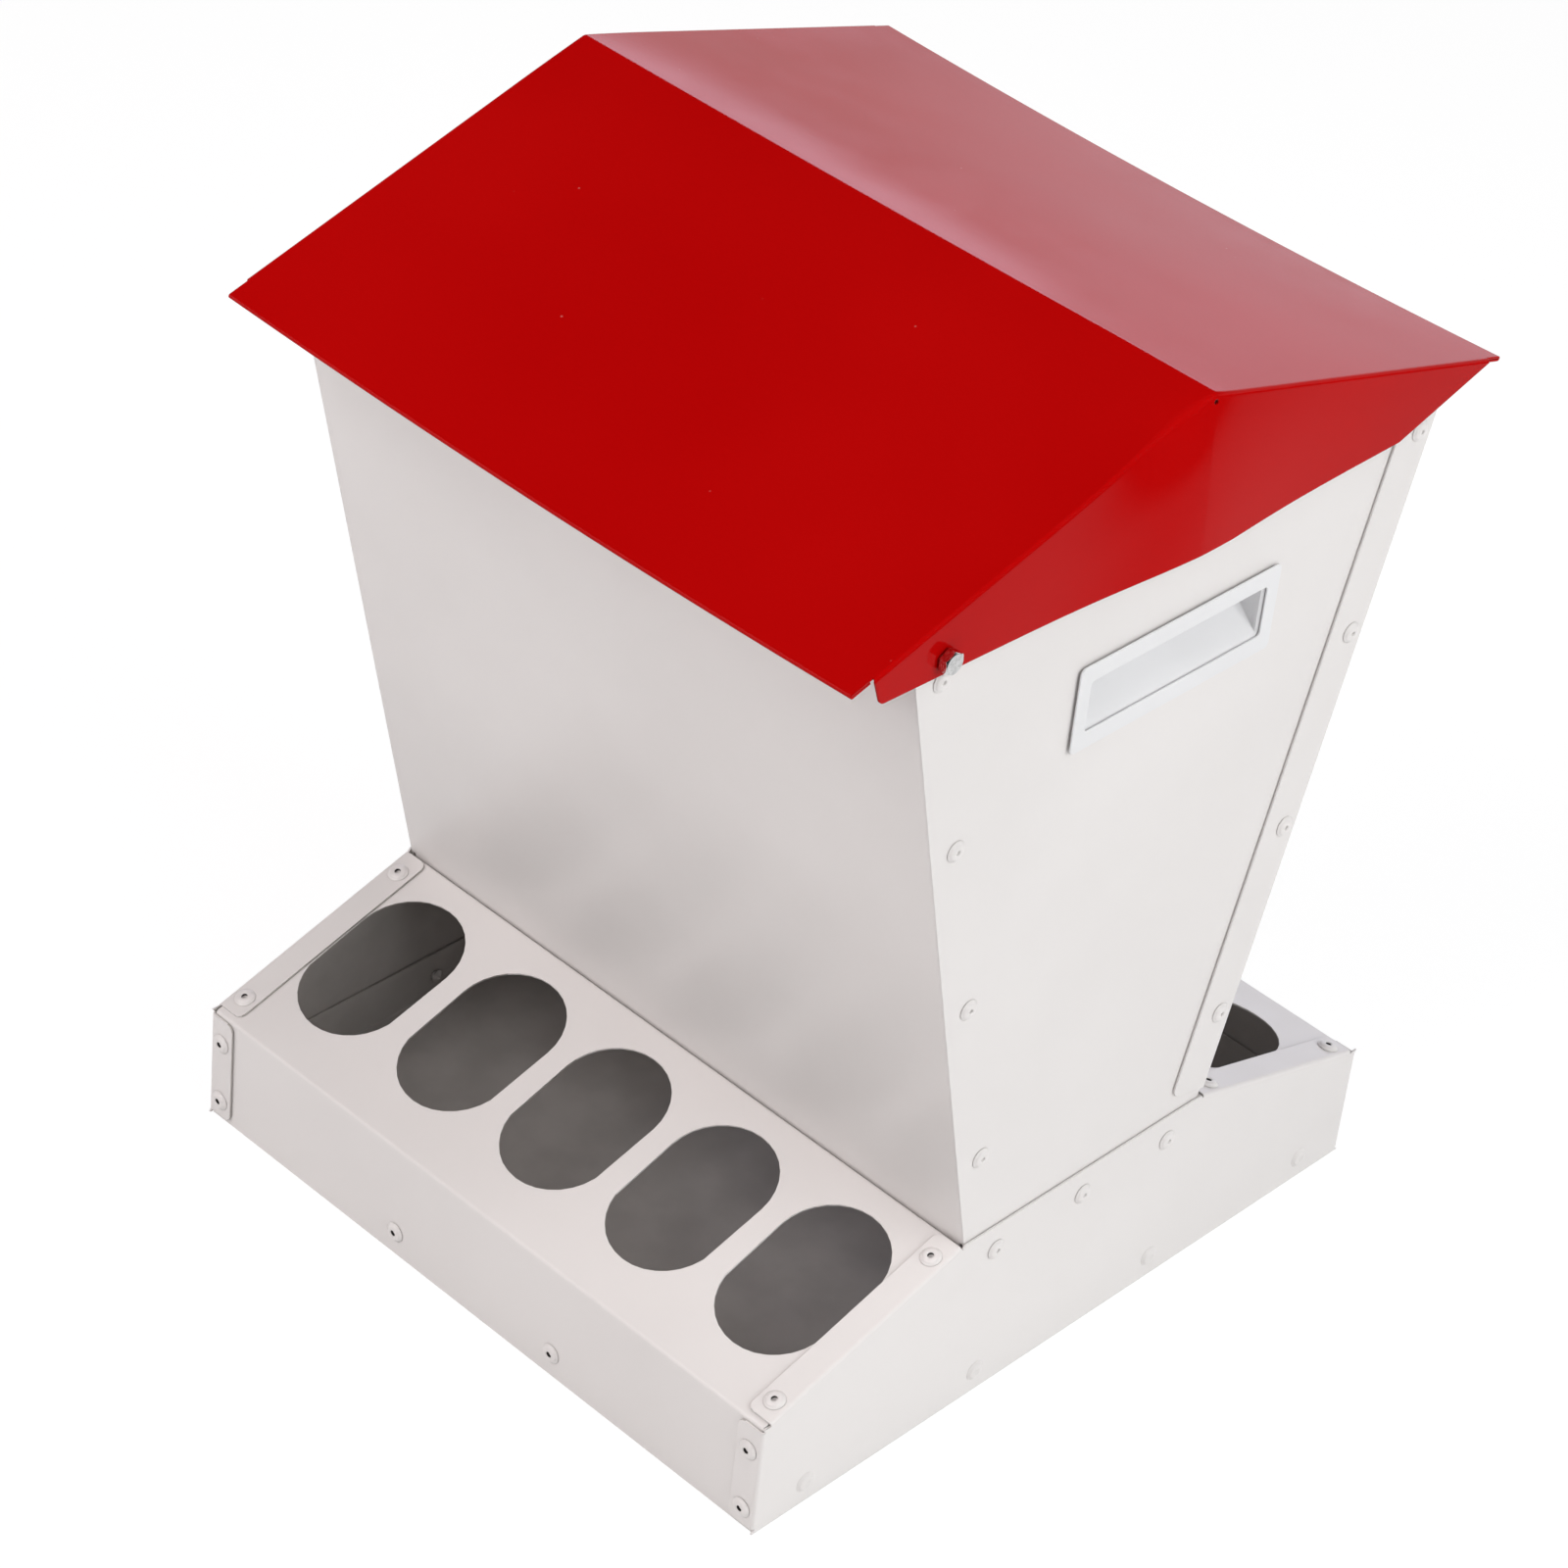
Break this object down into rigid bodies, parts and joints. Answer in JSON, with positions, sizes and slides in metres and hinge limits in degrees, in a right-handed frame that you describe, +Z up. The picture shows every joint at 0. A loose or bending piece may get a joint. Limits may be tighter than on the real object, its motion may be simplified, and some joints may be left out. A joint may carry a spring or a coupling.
{
  "type": "poultry feeder",
  "caption": "Riveted sheet-metal poultry feeder with a tapered hopper, feeding holes along a sloped tray on both sides, recessed handles and a hinged gable lid.",
  "frame": {"origin": "on the floor, under the middle of the base", "axes": "+Z up; X along the roof's ridge; +Y towards the back, the side away from the lid's hinge bolts"},
  "size_m": [0.3116, 0.333, 0.4191],
  "materials": {
    "white_paint": "satin powder coat",
    "red_paint": "gloss powder coat",
    "zinc": "zinc plated",
    "white_plastic": "fine moulded satin"
  },
  "bodies": {
    "feeder": {"base_side_left": "white_paint", "base_side_right": "white_paint", "bottom_pan": "white_paint", "handle_left": "white_plastic", "handle_right": "white_plastic", "hinge_bolt_left": "zinc", "hinge_bolt_right": "zinc", "hinge_nut_left": "zinc", "hinge_nut_right": "zinc", "hopper_back": "white_paint", "hopper_front": "white_paint", "hopper_side_left": "white_paint", "hopper_side_right": "white_paint", "rivet_corner_back_left_1": "white_paint", "rivet_corner_back_left_2": "white_paint", "rivet_corner_back_left_3": "white_paint", "rivet_corner_back_left_4": "white_paint", "rivet_corner_back_right_1": "white_paint", "rivet_corner_back_right_2": "white_paint", "rivet_corner_back_right_3": "white_paint", "rivet_corner_back_right_4": "white_paint", "rivet_corner_front_left_1": "white_paint", "rivet_corner_front_left_2": "white_paint", "rivet_corner_front_left_3": "white_paint", "rivet_corner_front_left_4": "white_paint", "rivet_corner_front_right_1": "white_paint", "rivet_corner_front_right_2": "white_paint", "rivet_corner_front_right_3": "white_paint", "rivet_corner_front_right_4": "white_paint", "rivet_pan_back_1": "white_paint", "rivet_pan_back_2": "white_paint", "rivet_pan_front_1": "white_paint", "rivet_pan_front_2": "white_paint", "rivet_slope_back_left_1": "white_paint", "rivet_slope_back_left_2": "white_paint", "rivet_slope_back_right_1": "white_paint", "rivet_slope_back_right_2": "white_paint", "rivet_slope_front_left_1": "white_paint", "rivet_slope_front_left_2": "white_paint", "rivet_slope_front_right_1": "white_paint", "rivet_slope_front_right_2": "white_paint", "rivet_waist_left_1": "white_paint", "rivet_waist_left_2": "white_paint", "rivet_waist_left_3": "white_paint", "rivet_waist_right_1": "white_paint", "rivet_waist_right_2": "white_paint", "rivet_waist_right_3": "white_paint", "rivet_wall_high_back_left": "white_paint", "rivet_wall_high_back_right": "white_paint", "rivet_wall_high_front_left": "white_paint", "rivet_wall_high_front_right": "white_paint", "rivet_wall_low_back_left": "white_paint", "rivet_wall_low_back_right": "white_paint", "rivet_wall_low_front_left": "white_paint", "rivet_wall_low_front_right": "white_paint", "tray_cover_back": "white_paint", "tray_cover_front": "white_paint"},
    "lid": {"lid": "red_paint"}
  },
  "joints": [
    {"name": "lid_hinge", "type": "hinge", "parent": "feeder", "child": "lid", "pos_m": [0, -0.12303, 0.3671], "axis": [1, 0, 0], "range_deg": [0, 85]}
  ]
}
